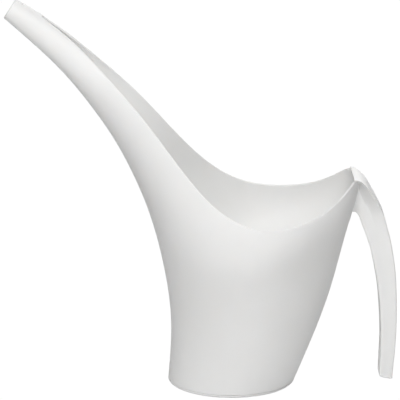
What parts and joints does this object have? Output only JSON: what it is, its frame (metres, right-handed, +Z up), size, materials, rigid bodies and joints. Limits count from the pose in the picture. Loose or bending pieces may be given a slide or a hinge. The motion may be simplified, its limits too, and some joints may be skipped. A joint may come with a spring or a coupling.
{
  "type": "watering can",
  "caption": "Indoor watering can in white moulded plastic: round base, open flared vessel sweeping up into a long trough spout with a closed pouring tip, and a free-hanging curved bar handle.",
  "frame": {"origin": "centre of the round base, on the surface it stands on", "axes": "+Z up, the spout points along -X and the handle is on +X; the can is the same on both sides of the XZ plane"},
  "size_m": [0.3193, 0.164, 0.3182],
  "materials": {
    "vessel_plastic": "satin",
    "base_plastic": "satin",
    "spout_tip_plastic": "satin",
    "handle_channel_plastic": "satin",
    "handle_strap_plastic": "satin",
    "plug_plastic": "satin"
  },
  "bodies": {
    "root": {"vessel_body": "vessel_plastic", "base_disc": "base_plastic", "spout_tip": "spout_tip_plastic", "handle_channel": "handle_channel_plastic", "handle_strap": "handle_strap_plastic", "handle_end_plug": "plug_plastic"}
  },
  "joints": []
}
